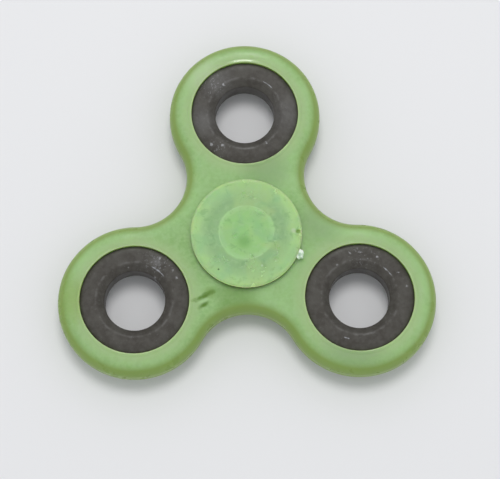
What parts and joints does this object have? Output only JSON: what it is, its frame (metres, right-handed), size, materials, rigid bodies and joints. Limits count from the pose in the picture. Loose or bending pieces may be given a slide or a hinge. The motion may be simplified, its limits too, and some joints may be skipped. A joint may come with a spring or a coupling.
{
  "type": "fidget spinner",
  "caption": "Three-lobed hand spinner: translucent moulded body, pressed-in black weight rings, open ball bearing at the hub and two round finger caps.",
  "frame": {"origin": "the bearing's centre, on the spin axis and half way through the body's thickness", "axes": "+Z along the spin axis towards the top cap; +Y from the hub to the top lobe; +X to the right, across the other two lobes"},
  "size_m": [0.0764, 0.0703, 0.0112],
  "materials": {
    "body_plastic": "translucent pale green moulded plastic, glossy",
    "cap_plastic": "translucent pale green moulded plastic, satin gloss",
    "weight_black": "black, matt, lightly scuffed",
    "race_steel": "ground bearing steel",
    "ball_steel": "polished",
    "cage_steel": "pressed sheet steel"
  },
  "bodies": {
    "hub": {"cap_top": "cap_plastic", "cap_bottom": "cap_plastic", "bearing_inner_race": "race_steel"},
    "rotor": {"body": "body_plastic", "weight_ring_top": "weight_black", "weight_ring_left": "weight_black", "weight_ring_right": "weight_black", "bearing_outer_race": "race_steel"},
    "cage": {"cage_upper": "cage_steel", "cage_lower": "cage_steel", "cage_rivet_1": "cage_steel", "cage_rivet_2": "cage_steel", "cage_rivet_3": "cage_steel", "cage_rivet_4": "cage_steel", "cage_rivet_5": "cage_steel", "cage_rivet_6": "cage_steel", "cage_rivet_7": "cage_steel"},
    "ball_1": {"ball_1": "ball_steel"},
    "ball_2": {"ball_2": "ball_steel"},
    "ball_3": {"ball_3": "ball_steel"},
    "ball_4": {"ball_4": "ball_steel"},
    "ball_5": {"ball_5": "ball_steel"},
    "ball_6": {"ball_6": "ball_steel"},
    "ball_7": {"ball_7": "ball_steel"}
  },
  "joints": [
    {"name": "body_spin", "type": "hinge", "parent": "hub", "child": "rotor", "pos_m": [0, 0, 0], "axis": [0, 0, 1], "continuous": true},
    {"name": "cage_spin", "type": "hinge", "parent": "hub", "child": "cage", "pos_m": [0, 0, 0], "axis": [0, 0, 1], "continuous": true},
    {"name": "ball_1_roll", "type": "hinge", "parent": "cage", "child": "ball_1", "pos_m": [0.00728, 0.00181, 0], "axis": [0, 0, 1], "continuous": true},
    {"name": "ball_2_roll", "type": "hinge", "parent": "cage", "child": "ball_2", "pos_m": [0.00312, 0.00682, 0], "axis": [0, 0, 1], "continuous": true},
    {"name": "ball_3_roll", "type": "hinge", "parent": "cage", "child": "ball_3", "pos_m": [-0.00339, 0.00669, 0], "axis": [0, 0, 1], "continuous": true},
    {"name": "ball_4_roll", "type": "hinge", "parent": "cage", "child": "ball_4", "pos_m": [-0.00734, 0.00152, 0], "axis": [0, 0, 1], "continuous": true},
    {"name": "ball_5_roll", "type": "hinge", "parent": "cage", "child": "ball_5", "pos_m": [-0.00577, -0.00479, 0], "axis": [0, 0, 1], "continuous": true},
    {"name": "ball_6_roll", "type": "hinge", "parent": "cage", "child": "ball_6", "pos_m": [0.00015, -0.0075, 0], "axis": [0, 0, 1], "continuous": true},
    {"name": "ball_7_roll", "type": "hinge", "parent": "cage", "child": "ball_7", "pos_m": [0.00596, -0.00456, 0], "axis": [0, 0, 1], "continuous": true}
  ],
  "couplings": [
    {"joint": "cage_spin", "follows": "body_spin", "ratio": 0.6323},
    {"joint": "ball_1_roll", "follows": "body_spin", "ratio": 1.7573},
    {"joint": "ball_2_roll", "follows": "body_spin", "ratio": 1.7573},
    {"joint": "ball_3_roll", "follows": "body_spin", "ratio": 1.7573},
    {"joint": "ball_4_roll", "follows": "body_spin", "ratio": 1.7573},
    {"joint": "ball_5_roll", "follows": "body_spin", "ratio": 1.7573},
    {"joint": "ball_6_roll", "follows": "body_spin", "ratio": 1.7573},
    {"joint": "ball_7_roll", "follows": "body_spin", "ratio": 1.7573}
  ]
}
